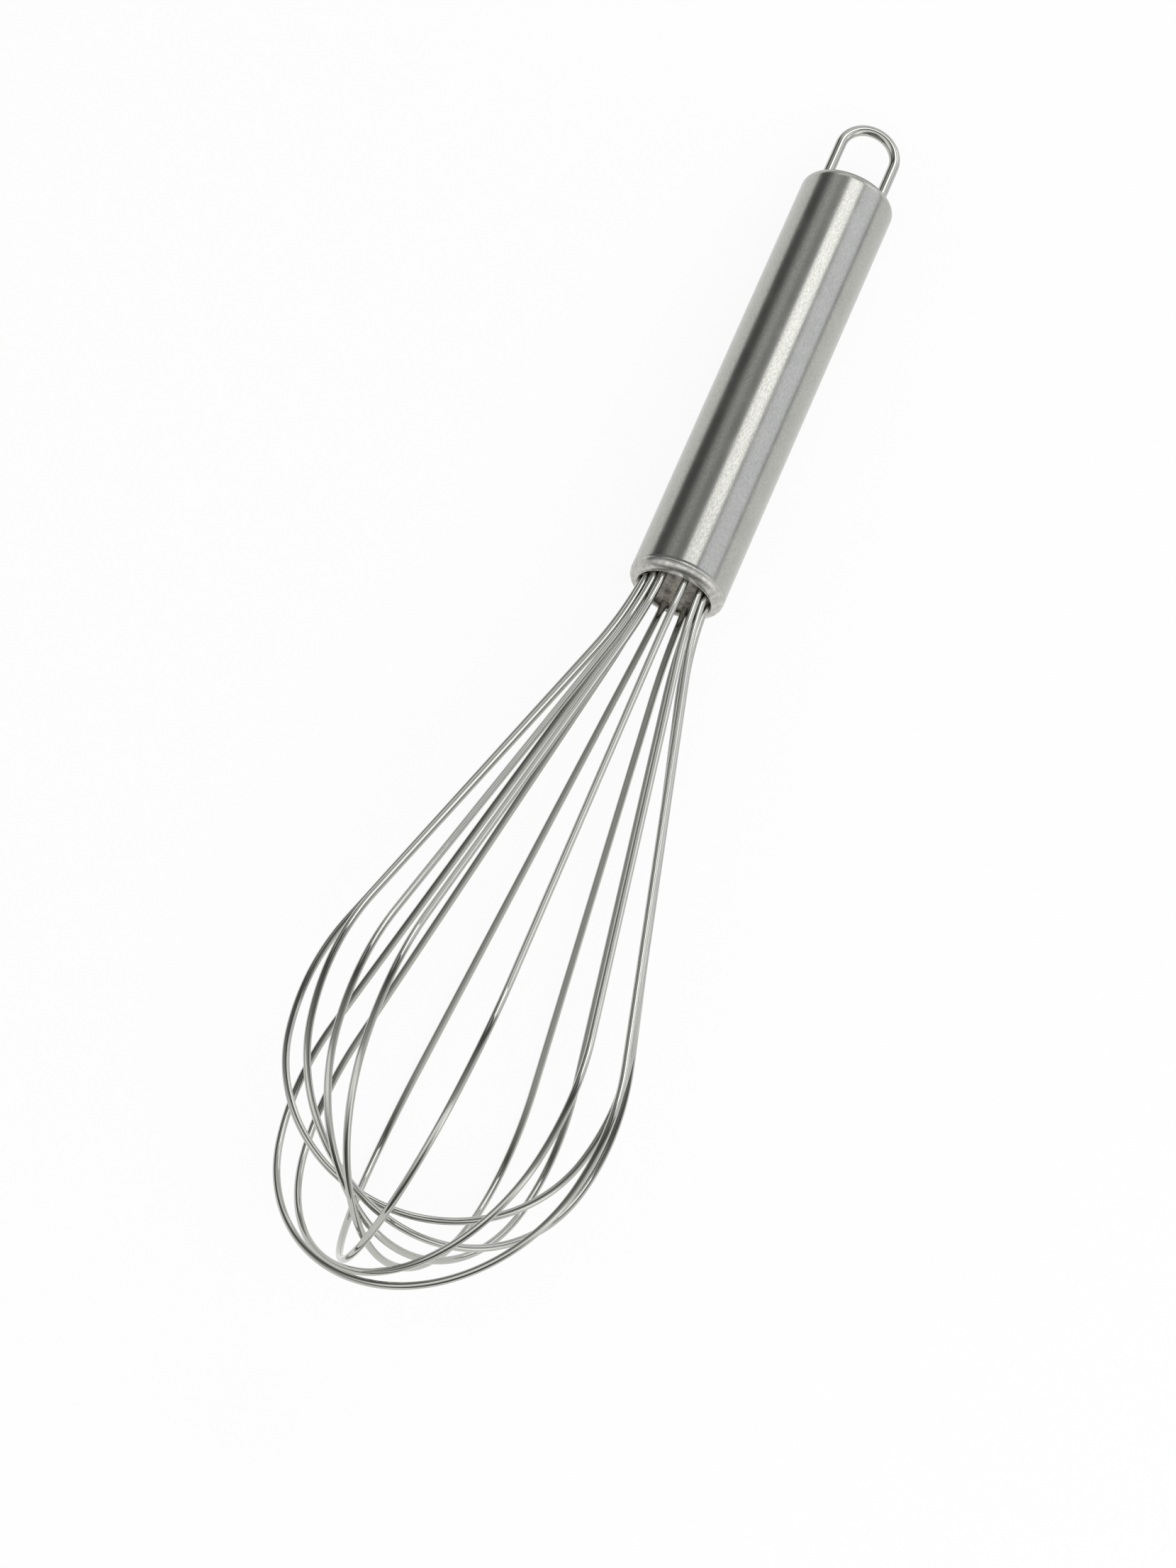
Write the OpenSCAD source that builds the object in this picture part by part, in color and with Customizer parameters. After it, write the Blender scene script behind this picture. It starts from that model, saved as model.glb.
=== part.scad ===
// Balloon whisk lying on a table, in millimetres.
// The pieces are drawn on the whisk's own axis, with the balloon's tip at zero and the
// handle above it, and are then laid down together: +Z is up, +X runs towards the hang loop.

/* [Balloon] */
// Length of the balloon, from the handle's mouth to the outermost tip
balloon_l = 140.5; // [130:0.5:155]
// Width of the balloon over its widest loops
balloon_d = 62; // [54:1:70]
// Diameter of the balloon wire
wire_d = 1.3; // [1:0.1:1.5]
// How much tighter a loop's tip is bent than half its width
tip_inset = 0.5; // [0.3:0.1:3]
// Bend radius of the belly, to the middle of the wire
belly_r = 49; // [42:0.5:60]
// How deep in the mouth the legs begin to flare
flare_inset = 5; // [3:0.5:6]
// Bend radius of the flare, to the middle of the wire
flare_r = 80; // [60:1:105]
// Distance from one nested tip to the next
tip_step = 2.3; // [2.2:0.05:3]
// How much the bent stretches of the balloon wire and the hang loop are drawn down in diameter
bend_thinning = 0.06; // [0.04:0.01:0.1]

/* [Handle tube] */
// Outer diameter of the handle
handle_d = 17.5; // [16:0.5:22]
// Length of the handle over its curled ends
handle_l = 89; // [70:1:120]
// Wall of the handle tube
handle_wall = 0.8; // [0.6:0.1:1.1]
// Outer radius of the curled ends
curl_r = 1.8; // [1.4:0.1:2.2]

/* [Hang loop] */
// Diameter of the hang loop's wire
loop_wire_d = 2; // [1.6:0.1:2.4]
// How far the loop stands out of the handle
loop_rise = 15.5; // [12:0.5:25]
// Turn of the loop about the handle, from straight down
loop_turn = -79; // [-90:1:90]
// Bend radius of the loop's feet under the cap
foot_bend_r = 1.8; // [1.5:0.1:2.5]
// Straight length of each foot
foot_l = 1.8; // [1:0.1:2]

/* [Ends of the handle] */
// Thickness of the cap in the top end
cap_t = 1.6; // [1.4:0.1:3]
// Length of the resin cast into the mouth
resin_l = 10; // [8:0.5:20]
// Thickness of the disc that spreads the wires and that the resin is cast against
spreader_t = 2.5; // [2:0.1:4]
// Length of wire left past the spreader
wire_tail = 2.5; // [1:0.5:5]

/* [Clearances] */
// Between the wires and the lip of the mouth
mouth_gap = 0.3; // [0.2:0.05:0.5]
// Between the hang loop's legs and the lip of the top end
loop_lip_gap = 0.7; // [0.4:0.1:1.5]
// Between a disc and the tube or disc that it seats in
seat_gap = 0.05; // [0.02:0.01:0.1]
// Around a wire in its hole
hole_gap = 0.1; // [0.05:0.01:0.15]

/* [Hidden] */
$fn = 64;

// How each loop is bent and set by hand, innermost first: its turn away from even spacing, its
// lean out of its own plane and its sway within that plane, in degrees, and how much narrower
// than the widest loops it is on each side.
loop_set = [
    [3.5, -0.2, -1.4, 2.5],
    [3.5, -0.4, -0.2, 0.4],
    [-1.5, 0.8, -0.3, 1.1],
    [-10.6, 1.2, -0.3, 0],
    [2, 1.8, 0.9, 1.3],
    [7.5, 0.3, 0.4, 1],
    [-2, 0.6, -0.7, 0.2]
];
// Azimuth of the first loop's plane from straight down, which beds the balloon on two wires
first_azimuth = -89.25;
loop_count = len(loop_set);

// Lengths along the whisk's axis
wire_r = wire_d / 2;
handle_r = handle_d / 2;
mouth_z = balloon_l;
top_z = mouth_z + handle_l;
loop_top_z = top_z + loop_rise;
bore_r = handle_r - handle_wall;
disc_r = bore_r - seat_gap;
resin_z = mouth_z + handle_wall + seat_gap;
spreader_z = resin_z + resin_l + seat_gap;
cap_z = top_z - handle_wall - seat_gap - cap_t;
// Distance between the hang loop's legs, middle to middle
loop_w = 2 * (handle_r - curl_r - loop_lip_gap) - loop_wire_d;
arch_z = loop_top_z - loop_wire_d / 2 - loop_w / 2;

// Balloon outline, to the middle of the wire
flare_in_mouth = asin(flare_inset / flare_r);
mouth_r = handle_r - curl_r - mouth_gap - wire_r / cos(flare_in_mouth);
neck_r = mouth_r - flare_r * (1 - cos(flare_in_mouth));
stem_z = mouth_z + flare_inset;
stem_l = spreader_z + spreader_t + wire_tail - stem_z;
flare_at = [neck_r + flare_r, stem_z];

function belly_reach(i) = balloon_d / 2 - wire_r - loop_set[i][3];
function tip_r(i) = belly_reach(i) - tip_inset;
function tip_half(i) = asin((belly_r - belly_reach(i)) / (belly_r - tip_r(i)));
function tip_z(i) = wire_r + tip_step * (loop_count - 1 - i);
function azimuth(i) = first_azimuth + i * 180 / loop_count + loop_set[i][0];
function tip_at(i) = [0, tip_z(i) + tip_r(i)];
function belly_at(i) =
    let (drop = (belly_r - tip_r(i)) * cos(tip_half(i)))
    [belly_reach(i) - belly_r, tip_z(i) + tip_r(i) + drop];
// Direction in which the straight leg touches the belly and the flare
function leg_turn(i) =
    let (span = flare_at - belly_at(i))
    atan2(span.y, span.x) - acos((belly_r + flare_r) / norm(span));
function toward(a) = [cos(a), sin(a)];

// Rest on the table: the handle's top rim and the lowest wires touch it
function turn_x(v, a) = [v.x, v.y * cos(a) - v.z * sin(a), v.y * sin(a) + v.z * cos(a)];
function turn_y(v, a) = [v.x * cos(a) + v.z * sin(a), v.y, v.z * cos(a) - v.x * sin(a)];
function turn_z(v, a) = [v.x * cos(a) - v.y * sin(a), v.x * sin(a) + v.y * cos(a), v.z];
function on_whisk(i, p) =
    let (mouth = [0, 0, mouth_z])
    let (swayed = turn_y([p.x, 0, p.y - mouth_z], -loop_set[i][2]))
    mouth + turn_z(turn_x(swayed, loop_set[i][1]), azimuth(i));
step_deg = 2;
wire_points = [
    for (i = [0 : loop_count - 1])
        for (side = [-1, 1])
            for (a = [-90 : step_deg : leg_turn(i)])
                let (on_tip = tip_at(i) + tip_r(i) * toward(a))
                let (on_belly = belly_at(i) + belly_r * toward(a))
                let (p = a < tip_half(i) - 90 ? on_tip : on_belly)
                on_whisk(i, [side * p.x, p.y])
];
rim_z = top_z - curl_r;
pitch = max([for (p = wire_points) atan((p.x + wire_r - handle_r) / (rim_z - p.z))]);
function laid(p) = turn_y(p, 90 + pitch);
laid_points = [for (p = wire_points) laid(p)];
laid_x = [for (p = laid_points) p.x];
laid_y = [for (p = laid_points) p.y];
lay_shift = [
    -(min(laid_x) - wire_r + loop_top_z * cos(pitch)) / 2,
    -(min(laid_y) + max(laid_y)) / 2,
    -laid([handle_r, 0, rim_z]).z
];
// Stretch by which a bent piece of wire runs on inside the straight piece that it joins
lap = 0.3;
through = 1;

module lay_down() {
    translate(lay_shift)
        rotate([0, 90 + pitch, 0])
            children();
}

// Puts a loop drawn in the plane of its own wire at its place around the axis
module on_loop(i) {
    translate([0, 0, mouth_z])
        rotate([0, 0, azimuth(i)])
            rotate([loop_set[i][1], 0, 0])
                rotate([0, -loop_set[i][2], 0])
                    translate([0, 0, -mouth_z])
                        rotate([90, 0, 0])
                            children();
}

// Straight round bar between two points of the drawing plane
module bar(from, to, d) {
    run = to - from;
    translate([from.x, from.y, 0])
        rotate([0, 0, atan2(run.y, run.x)])
            rotate([0, 90, 0])
                cylinder(d = d, h = norm(run));
}

// Round bar bent about a centre of the drawing plane, running on by a lap at both ends
module bend(centre, r, start, end, d, run_on) {
    extra = run_on / r * 180 / PI;
    translate([centre.x, centre.y, 0])
        rotate([0, 0, start - extra])
            rotate_extrude(angle = end - start + 2 * extra)
                translate([r, 0])
                    circle(d = d);
}

// One leg of a loop: belly, straight leg, flare and the stem inside the handle
module wire_leg(i) {
    a = leg_turn(i);
    bend(belly_at(i), belly_r, tip_half(i) - 90, a, wire_d - bend_thinning, lap);
    bar(belly_at(i) + belly_r * toward(a), flare_at - flare_r * toward(a), wire_d);
    bend(flare_at, flare_r, 180, 180 + a, wire_d - bend_thinning, lap);
    wire_stem(wire_d, stem_l);
}

module wire_stem(d, l) {
    bar([neck_r, stem_z], [neck_r, stem_z + l], d);
}

module whisk_wire(i) {
    color("gainsboro") lay_down() on_loop(i) {
        bend(tip_at(i), tip_r(i), -90 - tip_half(i), -90 + tip_half(i), wire_d, 0);
        wire_leg(i);
        mirror([1, 0, 0]) wire_leg(i);
    }
}

// Holes for all the legs, from the mouth to past their ends, with room around the wire
module leg_holes() {
    hole_d = wire_d + 2 * hole_gap;
    for (i = [0 : loop_count - 1])
        on_loop(i)
            for (side = [0, 1])
                mirror([side, 0, 0]) {
                    bend(flare_at, flare_r, 180, 180 + flare_in_mouth, hole_d - bend_thinning, lap);
                    wire_stem(hole_d, stem_l + hole_gap);
                }
}

// Half section of a bar with both its end edges rounded
module rounded_section(r, edge_r, l) {
    square([r - edge_r, l]);
    translate([0, edge_r])
        square([r, l - 2 * edge_r]);
    for (z = [edge_r, l - edge_r])
        translate([r - edge_r, z])
            circle(r = edge_r);
}

// Tube with both ends curled in as far as the middle of the curl
module handle_tube() {
    color("silver") lay_down() translate([0, 0, mouth_z]) rotate_extrude() difference() {
        rounded_section(handle_r, curl_r, handle_l);
        translate([0, handle_wall])
            rounded_section(bore_r, curl_r - handle_wall, handle_l - 2 * handle_wall);
        translate([0, -through])
            square([handle_r - curl_r, handle_l + 2 * through]);
    }
}

// Plug with its upper edge rounded to nest in a curled end
module nested_plug(l) {
    rotate_extrude() intersection() {
        translate([0, -l])
            rounded_section(disc_r, curl_r - handle_wall, 2 * l);
        square([disc_r, l]);
    }
}

module end_cap() {
    color("silver") lay_down() difference() {
        translate([0, 0, cap_z])
            nested_plug(cap_t);
        rotate([0, 0, loop_turn])
            for (side = [-1, 1])
                translate([side * loop_w / 2, 0, cap_z - through])
                    cylinder(d = loop_wire_d + 2 * hole_gap, h = cap_t + 2 * through);
    }
}

// Leg of the hang loop, with its foot turned in under the cap
module loop_leg() {
    foot_x = loop_w / 2 - foot_bend_r;
    bar([loop_w / 2, cap_z], [loop_w / 2, arch_z], loop_wire_d);
    bend([foot_x, cap_z], foot_bend_r, -90, 0, loop_wire_d - bend_thinning, lap);
    bar([foot_x, cap_z - foot_bend_r], [foot_x - foot_l, cap_z - foot_bend_r], loop_wire_d);
}

module hang_loop() {
    color("gainsboro") lay_down() rotate([0, 0, loop_turn]) rotate([90, 0, 0]) {
        bend([0, arch_z], loop_w / 2, 0, 180, loop_wire_d - bend_thinning, lap);
        loop_leg();
        mirror([1, 0, 0]) loop_leg();
    }
}

module wire_spreader() {
    color("darkgray") lay_down() difference() {
        translate([0, 0, spreader_z])
            cylinder(r = disc_r, h = spreader_t);
        leg_holes();
    }
}

// Plug in the mouth, with its rounded edge towards the balloon
module sealing_resin() {
    color("saddlebrown") lay_down() difference() {
        translate([0, 0, resin_z + resin_l])
            rotate([180, 0, 0])
                nested_plug(resin_l);
        leg_holes();
    }
}

handle_tube();
end_cap();
hang_loop();
wire_spreader();
sealing_resin();
whisk_wire(0);  // whisk_wire_1
whisk_wire(1);  // whisk_wire_2
whisk_wire(2);  // whisk_wire_3
whisk_wire(3);  // whisk_wire_4
whisk_wire(4);  // whisk_wire_5
whisk_wire(5);  // whisk_wire_6
whisk_wire(6);  // whisk_wire_7
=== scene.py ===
"""Balloon whisk lying on a table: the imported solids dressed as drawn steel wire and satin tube."""
import math

import bmesh
import bpy
import numpy as np
from mathutils import Matrix, Vector


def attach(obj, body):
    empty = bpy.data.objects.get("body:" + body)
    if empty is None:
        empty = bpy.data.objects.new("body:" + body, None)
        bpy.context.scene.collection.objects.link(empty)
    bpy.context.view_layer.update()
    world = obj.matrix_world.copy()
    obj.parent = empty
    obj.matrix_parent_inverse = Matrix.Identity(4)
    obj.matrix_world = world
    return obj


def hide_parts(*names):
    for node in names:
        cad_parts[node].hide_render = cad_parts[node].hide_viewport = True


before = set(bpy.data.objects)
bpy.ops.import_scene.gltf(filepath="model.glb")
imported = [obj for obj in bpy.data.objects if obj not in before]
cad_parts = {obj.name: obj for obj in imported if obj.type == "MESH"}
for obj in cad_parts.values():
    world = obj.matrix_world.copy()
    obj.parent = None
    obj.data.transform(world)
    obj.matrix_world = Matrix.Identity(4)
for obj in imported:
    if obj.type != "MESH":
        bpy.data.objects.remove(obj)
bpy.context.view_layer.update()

MM = 0.001

# Balloon wires, in millimetres, on the whisk's own axis: tip at zero, handle above it
WIRE_R = 0.65
WIRE_SIDES = 24
BALLOON_L = 140.5
BALLOON_REACH = 31 - WIRE_R
TIP_INSET = 0.5
TIP_STEP = 2.3
BELLY_R = 49
FLARE_R = 80
FLARE_INSET = 5
NECK_R = 5.84232
STEM_L = 10.9
STEM_STEPS = 4
# Turn, lean and sway of each loop in degrees, and how much narrower it is, innermost first
LOOP_SET = [
    (3.5, -0.2, -1.4, 2.5),
    (3.5, -0.4, -0.2, 0.4),
    (-1.5, 0.8, -0.3, 1.1),
    (-10.6, 1.2, -0.3, 0),
    (2, 1.8, 0.9, 1.3),
    (7.5, 0.3, 0.4, 1),
    (-2, 0.6, -0.7, 0.2),
]
FIRST_AZIMUTH = -89.25
# Share of a wire's radius that is broken off the edge of its cut ends
BROKEN_EDGE = 0.25
# Points of a line that are nearer than this are one point
SAME_POINT = 0.0001

# Handle tube
HANDLE_R = 8.75
HANDLE_L = 89
HANDLE_TOP = BALLOON_L + HANDLE_L
HANDLE_WALL = 0.8
CURL_R = 1.8
LIP_FILLET = 0.3
LIP_FILLET_OUT = 0.2 * LIP_FILLET
SEAM_DEPTH = 0.07
SEAM_W = 0.3
# How far down from the top the inner curl is coloured with a painted dark reflection
PAINTED_REFLECTION_DEPTH = 0.52 * CURL_R
TUBE_SIDES = 160
TUBE_STEPS = 24

# Hang loop
LOOP_WIRE_R = 1
LOOP_WIRE_SIDES = 32
LOOP_HALF_W = 5.25
LOOP_RISE = 15.5
LOOP_TURN = -79
LOOP_LEG_STEPS = 6
FOOT_BEND_R = 1.8
FOOT_L = 1.8
CAP_UNDERSIDE = 2.45

# How the whisk lies on the table
PITCH = 6.294
LAY_SHIFT = (-121.855, -1.26127, 33.6601)


def turn(axis, degrees):
    return Matrix.Rotation(math.radians(degrees), 4, axis)


LAY = Matrix.Translation(LAY_SHIFT) @ turn("Y", 90 + PITCH)


def arc(centre, r, start, end, step):
    """Points of a bend in the drawing plane, from one angle to another in degrees."""
    count = max(2, math.ceil(abs(end - start) / step) + 1)
    a = np.radians(np.linspace(start, end, count))
    return np.c_[centre[0] + r * np.cos(a), centre[1] + r * np.sin(a)]


def joined(*stretches):
    """One line through several stretches, without doubled points."""
    line = [stretches[0][0]]
    for stretch in stretches:
        for point in stretch:
            if np.hypot(*(point - line[-1])) > SAME_POINT:
                line.append(point)
    return np.array(line)


def both_sides(side):
    """Whole line from the half that starts on the axis."""
    return np.vstack([side[:0:-1] * (-1, 1), side])


def balloon_wire_line(i):
    """Middle line of one loop in its own plane, from stem end to stem end."""
    narrower = LOOP_SET[i][3]
    reach = BALLOON_REACH - narrower
    tip_r = reach - TIP_INSET
    half = math.asin((BELLY_R - reach) / (BELLY_R - tip_r))
    tip_z = WIRE_R + TIP_STEP * (len(LOOP_SET) - 1 - i)
    tip = np.array([0, tip_z + tip_r])
    belly = np.array([reach - BELLY_R, tip[1] + (BELLY_R - tip_r) * math.cos(half)])
    flare = np.array([NECK_R + FLARE_R, BALLOON_L + FLARE_INSET])
    span = flare - belly
    leg = math.degrees(
        math.atan2(span[1], span[0]) - math.acos((BELLY_R + FLARE_R) / np.hypot(*span)))
    split = math.degrees(half) - 90
    stem = np.array(
        [[NECK_R, flare[1] + STEM_L * k / STEM_STEPS] for k in range(STEM_STEPS + 1)])
    return both_sides(joined(
        arc(tip, tip_r, -90, split, step=2),
        arc(belly, BELLY_R, split, leg, step=1.5),
        arc(flare, FLARE_R, 180 + leg, 180, step=0.8),
        stem))


def balloon_wire_place(i):
    """Matrix from a loop's own plane to the table."""
    lean, sway = LOOP_SET[i][1:3]
    azimuth = FIRST_AZIMUTH + i * 180 / len(LOOP_SET) + LOOP_SET[i][0]
    mouth = Matrix.Translation((0, 0, BALLOON_L))
    set_per_loop = turn("Z", azimuth) @ turn("X", lean) @ turn("Y", -sway)
    return LAY @ mouth @ set_per_loop @ mouth.inverted()


def mesh_piece(name, verts, straight, faces, material):
    """Piece with, at each point, its place on the straight bar or tube that it was made from."""
    mesh = bpy.data.meshes.new(name)
    mesh.from_pydata([tuple(v) for v in verts], [], faces)
    mesh.materials.append(material)
    mesh.polygons.foreach_set("use_smooth", [True] * len(mesh.polygons))
    stock = mesh.attributes.new("stock", "FLOAT_VECTOR", "POINT")
    stock.data.foreach_set("vector", np.array(straight, dtype=float).ravel())
    bm = bmesh.new()
    bm.from_mesh(mesh)
    bmesh.ops.recalc_face_normals(bm, faces=bm.faces)
    bm.to_mesh(mesh)
    bm.free()
    mesh.update()
    piece = bpy.data.objects.new(name, mesh)
    bpy.context.scene.collection.objects.link(piece)
    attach(piece, "root")
    return piece


def round_wire(name, line, place, r, material, sides):
    """Round wire along a line drawn in a plane, with its end edges broken."""
    run = np.r_[0, np.cumsum(np.hypot(*np.diff(line, axis=0).T))]
    ways = np.gradient(line, axis=0)
    ways /= np.hypot(ways[:, 0], ways[:, 1])[:, None]
    broken = BROKEN_EDGE * r
    first, last = line[0], line[-1]
    rings = [
        (first, ways[0], r - broken, 0),
        (first + ways[0] * broken, ways[0], r, broken)]
    rings += [(p, t, r, s) for p, t, s in zip(line[1:-1], ways[1:-1], run[1:-1])]
    rings += [
        (last - ways[-1] * broken, ways[-1], r, run[-1] - broken),
        (last, ways[-1], r - broken, run[-1])]
    verts, straight = [], []
    for p, t, ring_r, s in rings:
        for k in range(sides):
            a = 2 * math.pi * k / sides
            out, up = math.cos(a) * ring_r, math.sin(a) * ring_r
            verts.append((place @ Vector((p[0] - t[1] * out, up, p[1] + t[0] * out))) * MM)
            straight.append((out, up, s))
    faces = []
    for j in range(len(rings) - 1):
        for k in range(sides):
            n = (k + 1) % sides
            faces.append((j * sides + k, j * sides + n, (j + 1) * sides + n, (j + 1) * sides + k))
    faces.append(tuple(range(sides)))
    faces.append(tuple(range((len(rings) - 1) * sides, len(rings) * sides)))
    return mesh_piece(name, verts, straight, faces, material)


def hang_loop_line():
    """Middle line of the hang loop in its own plane, from foot to foot."""
    arch = np.array([0, HANDLE_TOP + LOOP_RISE - LOOP_WIRE_R - LOOP_HALF_W])
    foot = np.array([LOOP_HALF_W - FOOT_BEND_R, HANDLE_TOP - CAP_UNDERSIDE])
    toe = foot + (0, -FOOT_BEND_R)
    step = (arch[1] - foot[1]) / LOOP_LEG_STEPS
    leg = np.array([[LOOP_HALF_W, foot[1] + step * k] for k in range(LOOP_LEG_STEPS - 1, 0, -1)])
    return both_sides(joined(
        arc(arch, LOOP_HALF_W, 90, 0, step=3),
        leg,
        arc(foot, FOOT_BEND_R, 0, -90, step=6),
        np.array([toe - (FOOT_L / 2, 0), toe - (FOOT_L, 0)])))


def curled_end(z, way, seam_depth):
    """Half section of a curled end, from its seam to inside the curl.

    z is the height of the end, way points into the tube.
    """
    middle = HANDLE_R - CURL_R
    lip = middle + LIP_FILLET_OUT
    points = np.vstack([
        [
            (HANDLE_R, CURL_R + 2 * SEAM_W),
            (HANDLE_R, CURL_R + SEAM_W),
            (HANDLE_R - seam_depth, CURL_R + SEAM_W / 2)],
        arc((middle, CURL_R), CURL_R, 0, -90, step=6),
        arc((lip, LIP_FILLET), LIP_FILLET, -90, -180, step=22.5),
        arc((lip, HANDLE_WALL - LIP_FILLET), LIP_FILLET, 180, 90, step=22.5),
        arc((middle, CURL_R), CURL_R - HANDLE_WALL, -90, 0, step=10)])
    return [(r, z + way * h) for r, h in points]


def handle_profile():
    """Closed half section of the handle tube, from the mouth up the outside and down the bore."""
    mouth = curled_end(BALLOON_L, 1, SEAM_DEPTH)
    top = curled_end(HANDLE_TOP, -1, 0)
    heights = [BALLOON_L + HANDLE_L * k / TUBE_STEPS for k in range(1, TUBE_STEPS)]
    outside = [(HANDLE_R, z) for z in heights]
    inside = [(HANDLE_R - HANDLE_WALL, z) for z in reversed(heights)]
    return mouth[::-1] + outside + top + inside


def tube_finish(z):
    """Material slot at a height of the tube: satin, the mouth's lip or the top's inner curl with its
    painted dark reflection.
    """
    if z < BALLOON_L + CURL_R:
        return 1
    return 2 if z > HANDLE_TOP - PAINTED_REFLECTION_DEPTH else 0


def lathe(name, profile, material, segments):
    """Piece turned from a closed half section."""
    verts, straight, faces = [], [], []
    for r, z in profile:
        for k in range(segments):
            a = 2 * math.pi * k / segments
            straight.append((r * math.cos(a), r * math.sin(a), z))
            verts.append((LAY @ Vector(straight[-1])) * MM)
    rows = len(profile)
    for j in range(rows):
        for k in range(segments):
            n = (k + 1) % segments
            m = (j + 1) % rows
            faces.append((j * segments + k, j * segments + n, m * segments + n, m * segments + k))
    return mesh_piece(name, verts, straight, faces, material)


class Sheet:
    """Node tree that is filled in line by line."""

    def __init__(self, tree):
        self.tree = tree

    def add(self, kind, values=None, **settings):
        """New node: plain values go into its inputs, sockets of other nodes are linked to them."""
        node = self.tree.nodes.new(kind)
        for key, value in settings.items():
            setattr(node, key, value)
        for key, value in (values or {}).items():
            self.put(node.inputs[key], value)
        return node

    def put(self, socket, value):
        if isinstance(value, bpy.types.NodeSocket):
            self.tree.links.new(value, socket)
        else:
            socket.default_value = value

    def math(self, operation, *terms):
        node = self.add("ShaderNodeMath", operation=operation)
        for socket, value in zip(node.inputs, terms):
            self.put(socket, value)
        return node.outputs[0]

    def plus(self, *terms):
        total = terms[0]
        for term in terms[1:]:
            total = self.math("ADD", total, term)
        return total

    def times(self, *terms):
        product = terms[0]
        for term in terms[1:]:
            product = self.math("MULTIPLY", product, term)
        return product

    def span(self, value, low, high, to_low, to_high, smooth=False):
        """Value carried from one range to another and held at its ends."""
        node = self.add("ShaderNodeMapRange", {
            "Value": value,
            "From Min": low, "From Max": high, "To Min": to_low, "To Max": to_high})
        node.interpolation_type = "SMOOTHSTEP" if smooth else "LINEAR"
        return node.outputs["Result"]

    def blend(self, share, first, second):
        """Colour mixed from two others."""
        node = self.add("ShaderNodeMix", data_type="RGBA")
        # The node has sockets of several types: these are its factor, two colours and result
        factor, colours, result = node.inputs[0], node.inputs[6:8], node.outputs[2]
        self.put(factor, share)
        for socket, colour in zip(colours, (first, second)):
            linked = isinstance(colour, bpy.types.NodeSocket)
            self.put(socket, colour if linked else (*colour, 1))
        return result


# Where the noise of marks and clouds runs from none to full, how wide a scratch is and which
# clouds it shows in
NOISE_SPREAD = (0.3, 0.7)
SCRATCH_W = 0.035
SCRATCHED_CLOUDS = (0.5, 0.62)


def metal_marks_group():
    """Fine marks, broad clouds and light scratches of worked steel, in millimetres of its stock."""
    group = bpy.data.node_groups.new("metal_marks", "ShaderNodeTree")
    ports = group.interface
    ports.new_socket("Stock", in_out="INPUT", socket_type="NodeSocketVector")
    for name, value in (("Across", 8), ("Along", 0.4), ("Cloud Size", 5)):
        socket = ports.new_socket(name, in_out="INPUT", socket_type="NodeSocketFloat")
        socket.default_value = value
    for name in ("Marks", "Clouds", "Scratches"):
        ports.new_socket(name, in_out="OUTPUT", socket_type="NodeSocketFloat")
    sheet = Sheet(group)
    given = sheet.add("NodeGroupInput").outputs
    stretch = sheet.add("ShaderNodeCombineXYZ", {
        "X": given["Across"], "Y": given["Across"], "Z": given["Along"]})
    drawn = sheet.add(
        "ShaderNodeVectorMath", {0: given["Stock"], 1: stretch.outputs[0]}, operation="MULTIPLY")
    marks = sheet.add("ShaderNodeTexNoise", {
        "Vector": drawn.outputs[0], "Scale": 1, "Detail": 3, "Roughness": 0.6})
    broad = sheet.add("ShaderNodeTexNoise", {
        "Vector": given["Stock"], "Scale": sheet.math("DIVIDE", 1, given["Cloud Size"]),
        "Detail": 4, "Roughness": 0.55})
    tilted = sheet.add("ShaderNodeMapping", {
        "Vector": given["Stock"], "Rotation": (0.5, 0.3, 0.8), "Scale": (0.5, 3, 0.12)})
    lines = sheet.add(
        "ShaderNodeTexVoronoi", {"Vector": tilted.outputs[0], "Scale": 1},
        feature="DISTANCE_TO_EDGE")
    thin = sheet.span(lines.outputs["Distance"], 0, SCRATCH_W, 1, 0)
    patchy = sheet.span(broad.outputs["Fac"], *SCRATCHED_CLOUDS, 0, 1)
    out = sheet.add("NodeGroupOutput")
    sheet.put(out.inputs["Marks"], sheet.span(marks.outputs["Fac"], *NOISE_SPREAD, 0, 1))
    sheet.put(out.inputs["Clouds"], sheet.span(broad.outputs["Fac"], *NOISE_SPREAD, 0, 1))
    sheet.put(out.inputs["Scratches"], sheet.times(thin, patchy))
    return group


METAL_MARKS = metal_marks_group()
# Shares of the fine marks and of the clouds in the colour and in the wear of the steel, and the
# wear that runs from its smooth to its rough value
SHADE_SHARES = (0.75, 0.25)
WEAR_SHARES = (0.6, 0.4)
WEAR_SPREAD = (0.2, 1)
SCRATCH_DEPTH = 0.5
MARK_HEIGHT = 0.00002


def new_material(name):
    material = bpy.data.materials.new(name)
    material.use_nodes = True
    return material, Sheet(material.node_tree), material.node_tree.nodes["Principled BSDF"].inputs


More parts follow.
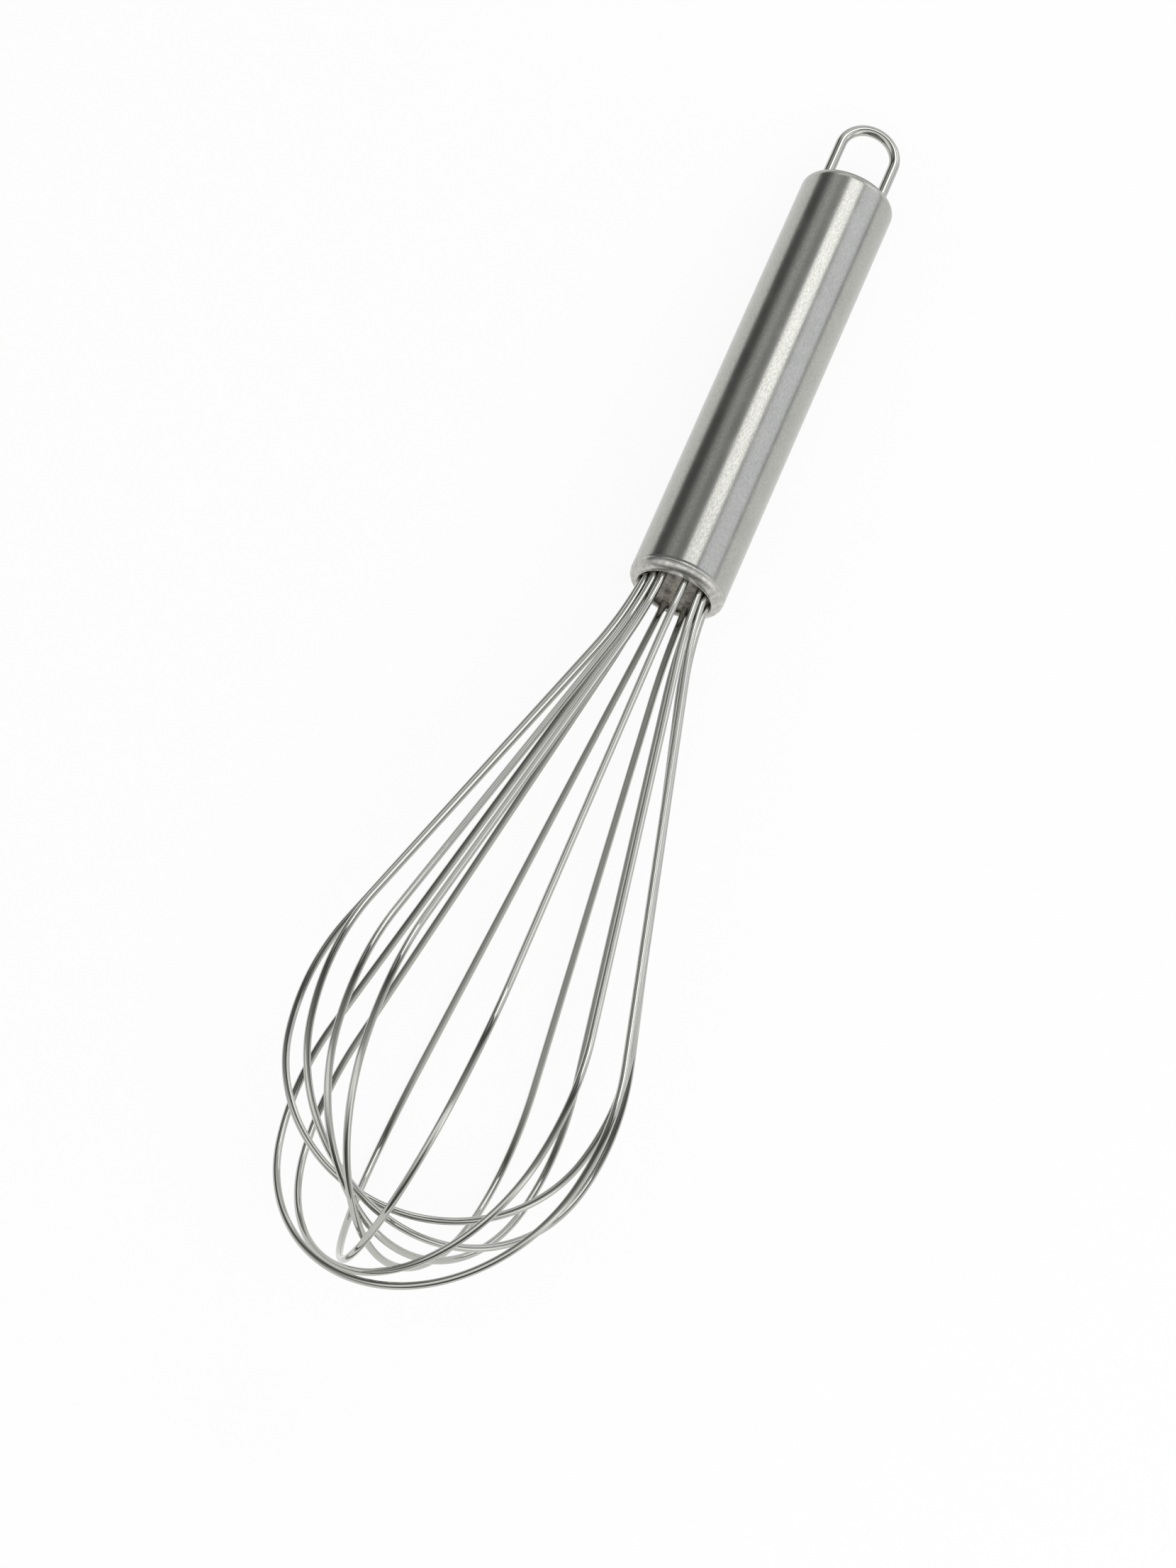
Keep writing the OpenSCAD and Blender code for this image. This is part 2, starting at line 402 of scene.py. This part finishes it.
def worked_steel(name, across, along, clouds_mm, dull, bright, smooth, rough, bump, solid=False):
    """Steel with its working marks: colour and roughness between two values each.

    The marks follow a dressed piece's stock, or the place on the table for a CAD solid.
    """
    material, sheet, shader = new_material(name)
    if solid:
        place = sheet.add("ShaderNodeTexCoord").outputs["Object"]
        stock = sheet.add(
            "ShaderNodeVectorMath", {0: place, "Scale": 1 / MM}, operation="SCALE").outputs[0]
    else:
        stock = sheet.add("ShaderNodeAttribute", attribute_name="stock").outputs["Vector"]
    worked = sheet.add("ShaderNodeGroup", node_tree=METAL_MARKS)
    sheet.put(worked.inputs["Stock"], stock)
    for key, value in (("Across", across), ("Along", along), ("Cloud Size", clouds_mm)):
        worked.inputs[key].default_value = value
    fine, clouds, scratches = (worked.outputs[key] for key in ("Marks", "Clouds", "Scratches"))
    shade = sheet.plus(sheet.times(fine, SHADE_SHARES[0]), sheet.times(clouds, SHADE_SHARES[1]))
    sheet.put(shader["Base Color"], sheet.blend(shade, dull, bright))
    between_marks = sheet.math("SUBTRACT", 1, fine)
    wear = sheet.plus(
        sheet.times(between_marks, WEAR_SHARES[0]), sheet.times(clouds, WEAR_SHARES[1]))
    worn = sheet.math("MAXIMUM", wear, scratches)
    sheet.put(shader["Roughness"], sheet.span(worn, *WEAR_SPREAD, smooth, rough))
    height = sheet.math("SUBTRACT", fine, sheet.times(scratches, SCRATCH_DEPTH))
    relief = sheet.add(
        "ShaderNodeBump", {"Strength": bump, "Distance": MARK_HEIGHT, "Height": height})
    sheet.put(shader["Normal"], relief.outputs["Normal"])
    shader["Metallic"].default_value = 1
    return material


wire_steel = worked_steel(
    "drawn_wire_steel", across=7, along=0.12, clouds_mm=4,
    dull=(0.42, 0.42, 0.395), bright=(0.52, 0.52, 0.49), smooth=0.03, rough=0.1, bump=0.02)
tube_steel = worked_steel(
    "satin_tube_steel", across=4, along=1.6, clouds_mm=5,
    dull=(0.365, 0.365, 0.342), bright=(0.495, 0.495, 0.463), smooth=0.19, rough=0.27, bump=0.06)
lip_steel = worked_steel(
    "mottled_lip_steel", across=1.1, along=0.9, clouds_mm=2,
    dull=(0.4, 0.39, 0.36), bright=(0.64, 0.64, 0.61), smooth=0.22, rough=0.5, bump=0.3)
# Painted dark reflection: the top's inner curl is coloured dark, standing in for dark surroundings
# mirrored there
painted_reflection_rim_steel = worked_steel(
    "steel_rim_painted_dark_reflection", across=6, along=2, clouds_mm=3,
    dull=(0.14, 0.14, 0.13), bright=(0.22, 0.22, 0.205), smooth=0.08, rough=0.2, bump=0.02)
disc_steel = worked_steel(
    "stamped_disc_steel", across=1.5, along=1.5, clouds_mm=3,
    dull=(0.32, 0.32, 0.315), bright=(0.46, 0.46, 0.45), smooth=0.22, rough=0.42, bump=0.3,
    solid=True)

RESIN_DARK = (0.08, 0.07, 0.058)
RESIN_PALE = (0.36, 0.33, 0.275)
# Painted shade: near-black colour mixed into the bubble pits
RESIN_PIT_PAINTED_SHADE = (0.015, 0.012, 0.01)
# Where the flow runs from dark to pale and from glossy to dull, and where a pit's edge is
RESIN_COLOUR_SPREAD = (0.35, 0.65)
RESIN_GLOSS_SPREAD = (0.3, 0.7)
RESIN_ROUGHNESS = (0.12, 0.4)
PIT_EDGE = (0.12, 0.3)
PIT_SHADE_SHARE = 0.6


def cast_resin():
    """Dark cast resin, unevenly dull, with small pits left by bubbles that are darkened with painted
    shade.
    """
    material, sheet, shader = new_material("cast_resin")
    place = sheet.add("ShaderNodeTexCoord").outputs["Object"]
    flow = sheet.add("ShaderNodeTexNoise", {
        "Vector": place, "Scale": 500, "Detail": 5, "Roughness": 0.6}).outputs["Fac"]
    cells = sheet.add("ShaderNodeTexVoronoi", {"Vector": place, "Scale": 1100}).outputs["Distance"]
    pits = sheet.span(cells, *PIT_EDGE, 1, 0, smooth=True)
    cast = sheet.blend(sheet.span(flow, *RESIN_COLOUR_SPREAD, 0, 1), RESIN_DARK, RESIN_PALE)
    # Painted shade: each pit is darkened towards near black
    sheet.put(shader["Base Color"], sheet.blend(sheet.times(pits, PIT_SHADE_SHARE), cast, RESIN_PIT_PAINTED_SHADE))
    sheet.put(shader["Roughness"], sheet.span(flow, *RESIN_GLOSS_SPREAD, *RESIN_ROUGHNESS))
    height = sheet.math("SUBTRACT", flow, pits)
    relief = sheet.add("ShaderNodeBump", {"Strength": 0.5, "Distance": 0.0001, "Height": height})
    sheet.put(shader["Normal"], relief.outputs["Normal"])
    return material


resin = cast_resin()

for i in range(len(LOOP_SET)):
    wire = round_wire(
        f"balloon_wire_{i + 1}", balloon_wire_line(i), balloon_wire_place(i), WIRE_R, wire_steel,
        WIRE_SIDES)
    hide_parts(f"whisk_wire_{i + 1}")
hanger = round_wire(
    "hanging_loop", hang_loop_line(), LAY @ turn("Z", LOOP_TURN), LOOP_WIRE_R, wire_steel,
    LOOP_WIRE_SIDES)
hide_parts("hang_loop")
profile = handle_profile()
tube = lathe("curled_tube", profile, tube_steel, TUBE_SIDES)
tube.data.materials.append(lip_steel)
tube.data.materials.append(painted_reflection_rim_steel)
finish = np.array([tube_finish(z) for _, z in profile], dtype=np.int32)
tube.data.polygons.foreach_set("material_index", np.repeat(finish, TUBE_SIDES))
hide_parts("handle_tube")

for node, material in (
        ("end_cap", disc_steel), ("wire_spreader", disc_steel), ("sealing_resin", resin)):
    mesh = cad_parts[node].data
    mesh.materials.clear()
    mesh.materials.append(material)

# Camera
CAMERA_AT = (-0.344454, -0.107323, 0.932872)
CAMERA_TURN = (20.4098, -1.2542, -68.3634)
PHOTO_H = 2212
FOCAL_PX = 8000
SENSOR_MM = 36
VIEW_DEPTH = 50
camera_data = bpy.data.cameras.new("camera")
camera_data.sensor_fit = "VERTICAL"
camera_data.sensor_height = SENSOR_MM
camera_data.lens = FOCAL_PX / PHOTO_H * SENSOR_MM
camera_data.clip_end = VIEW_DEPTH
camera = bpy.data.objects.new("camera", camera_data)
camera.location = CAMERA_AT
camera.rotation_euler = [math.radians(a) for a in CAMERA_TURN]
bpy.context.scene.collection.objects.link(camera)
bpy.context.scene.camera = camera

# Table: white where it is seen directly or in the metal, and still shaded by the whisk
TABLE_W = 40
TABLE_DROP = 0.00005
TABLE_TONE = 0.9
SEEN_WHITE = 0.9
bpy.ops.mesh.primitive_plane_add(size=TABLE_W, location=(0, 0, -TABLE_DROP))
table = bpy.context.object
table.name = "table"
table_white, sheet, shader = new_material("table_white")
shader["Base Color"].default_value = (TABLE_TONE, TABLE_TONE, TABLE_TONE, 1)
shader["Roughness"].default_value = 0.9
ray = sheet.add("ShaderNodeLightPath").outputs
mirrored = sheet.math("MAXIMUM", ray["Is Glossy Ray"], ray["Is Transmission Ray"])
seen = sheet.math("MAXIMUM", ray["Is Camera Ray"], mirrored)
glow = sheet.add("ShaderNodeEmission")
table_nodes = table_white.node_tree.nodes
mix = sheet.add("ShaderNodeMixShader", {
    0: sheet.times(seen, SEEN_WHITE),
    1: table_nodes["Principled BSDF"].outputs["BSDF"],
    2: glow.outputs["Emission"]})
sheet.put(table_nodes["Material Output"].inputs["Surface"], mix.outputs["Shader"])
table.data.materials.append(table_white)


def panel(name, at, toward, size, radiance, colour=(1, 1, 1)):
    """Soft light panel, aimed at a point, with the given brightness of its face."""
    data = bpy.data.lights.new(name, "AREA")
    data.shape = "RECTANGLE"
    data.size, data.size_y = size
    data.energy = radiance * math.pi * size[0] * size[1]
    data.color = colour
    light = bpy.data.objects.new(name, data)
    light.location = at
    light.rotation_euler = (Vector(at) - Vector(toward)).to_track_quat("Z", "Y").to_euler()
    light.visible_camera = False
    bpy.context.scene.collection.objects.link(light)
    return light


panel("overhead", at=(0.86, -0.22, 1), toward=(0.86, -0.22, 0), size=(0.45, 0.66), radiance=2.15)
panel("side", at=(0.75, -0.56, 0.35), toward=(0.75, 0, 0.03), size=(0.9, 0.58), radiance=0.95,
      colour=(0.92, 0.94, 1))
# Even light for what isn't metal, left out of the reflections
fill = panel("fill", at=(-0.5, -0.4, 0.9), toward=(0, 0, 0), size=(0.9, 0.7), radiance=2.4)
fill.visible_glossy = False

# Room: bright behind the camera, falling to a dark gap above the handle, with a pale backdrop
# beyond it. Each line gives a range of the direction and the brightness or share at its two ends.
# The direction is either how much it points along the whisk, from -1 to 1, or its slope: degrees
# from straight up, positive towards the far side.
BEHIND_CAMERA_ALONG = (-0.18, 0, 0.72, 0)
CEILING_ALONG = (0, 0.45, 0.43, 0.02)
LOW_END_ALONG = (-0.95, -0.45, 0, 1)
LOW_END_SHIFT_BY_SLOPE = (10, -20, 0, 0.2)
BACKDROP_ALONG = (0.58, 0.82, 0, 0.65)
FAR_SIDE_BY_SLOPE = (50, 75, 1, 0.35)
NEAR_WALL_BY_SLOPE = (-20, -70, 0, 0.5)
NEAR_WALL_TOP_ALONG = (0.3, 0.45, 1, 0.15)
NEAR_WALL_LOW_ALONG = (-0.5, -0.25, 0.2, 1)
STRIP_START_BY_SLOPE = (4, 12, 0, 0.4)
STRIP_RISE_BY_SLOPE = (24, 38, 0, 0.6)
STRIP_END_BY_SLOPE = (66, 44, 0, 1)
STRIP_ALONG = (0.46, 0.54, 0, 0.45)
ROOM_BASE = 0.09

world = bpy.data.worlds.new("studio")
world.use_nodes = True
sheet = Sheet(world.node_tree)
direction = sheet.add("ShaderNodeTexCoord").outputs["Generated"]
way = sheet.add("ShaderNodeSeparateXYZ", {0: direction}).outputs
along = way["X"]
slope = sheet.math("DEGREES", sheet.math("ARCTAN2", way["Y"], way["Z"]))
shifted = sheet.math("SUBTRACT", along, sheet.span(slope, *LOW_END_SHIFT_BY_SLOPE))
ceiling = sheet.times(
    sheet.plus(
        sheet.span(along, *BEHIND_CAMERA_ALONG, smooth=True),
        sheet.span(along, *CEILING_ALONG)),
    sheet.span(shifted, *LOW_END_ALONG, smooth=True))
upper = sheet.times(
    sheet.plus(ceiling, sheet.span(along, *BACKDROP_ALONG, smooth=True)),
    sheet.span(slope, *FAR_SIDE_BY_SLOPE, smooth=True))
near_wall = sheet.times(
    sheet.span(slope, *NEAR_WALL_BY_SLOPE),
    sheet.span(along, *NEAR_WALL_TOP_ALONG, smooth=True),
    sheet.span(along, *NEAR_WALL_LOW_ALONG))
strip = sheet.times(
    sheet.plus(
        sheet.span(slope, *STRIP_START_BY_SLOPE, smooth=True),
        sheet.span(slope, *STRIP_RISE_BY_SLOPE, smooth=True)),
    sheet.span(slope, *STRIP_END_BY_SLOPE, smooth=True),
    sheet.span(along, *STRIP_ALONG, smooth=True))
background = world.node_tree.nodes["Background"]
background.inputs["Color"].default_value = (1, 1, 1, 1)
sheet.put(background.inputs["Strength"], sheet.plus(upper, strip, near_wall, ROOM_BASE))
bpy.context.scene.world = world

bpy.context.scene.view_settings.view_transform = "Standard"
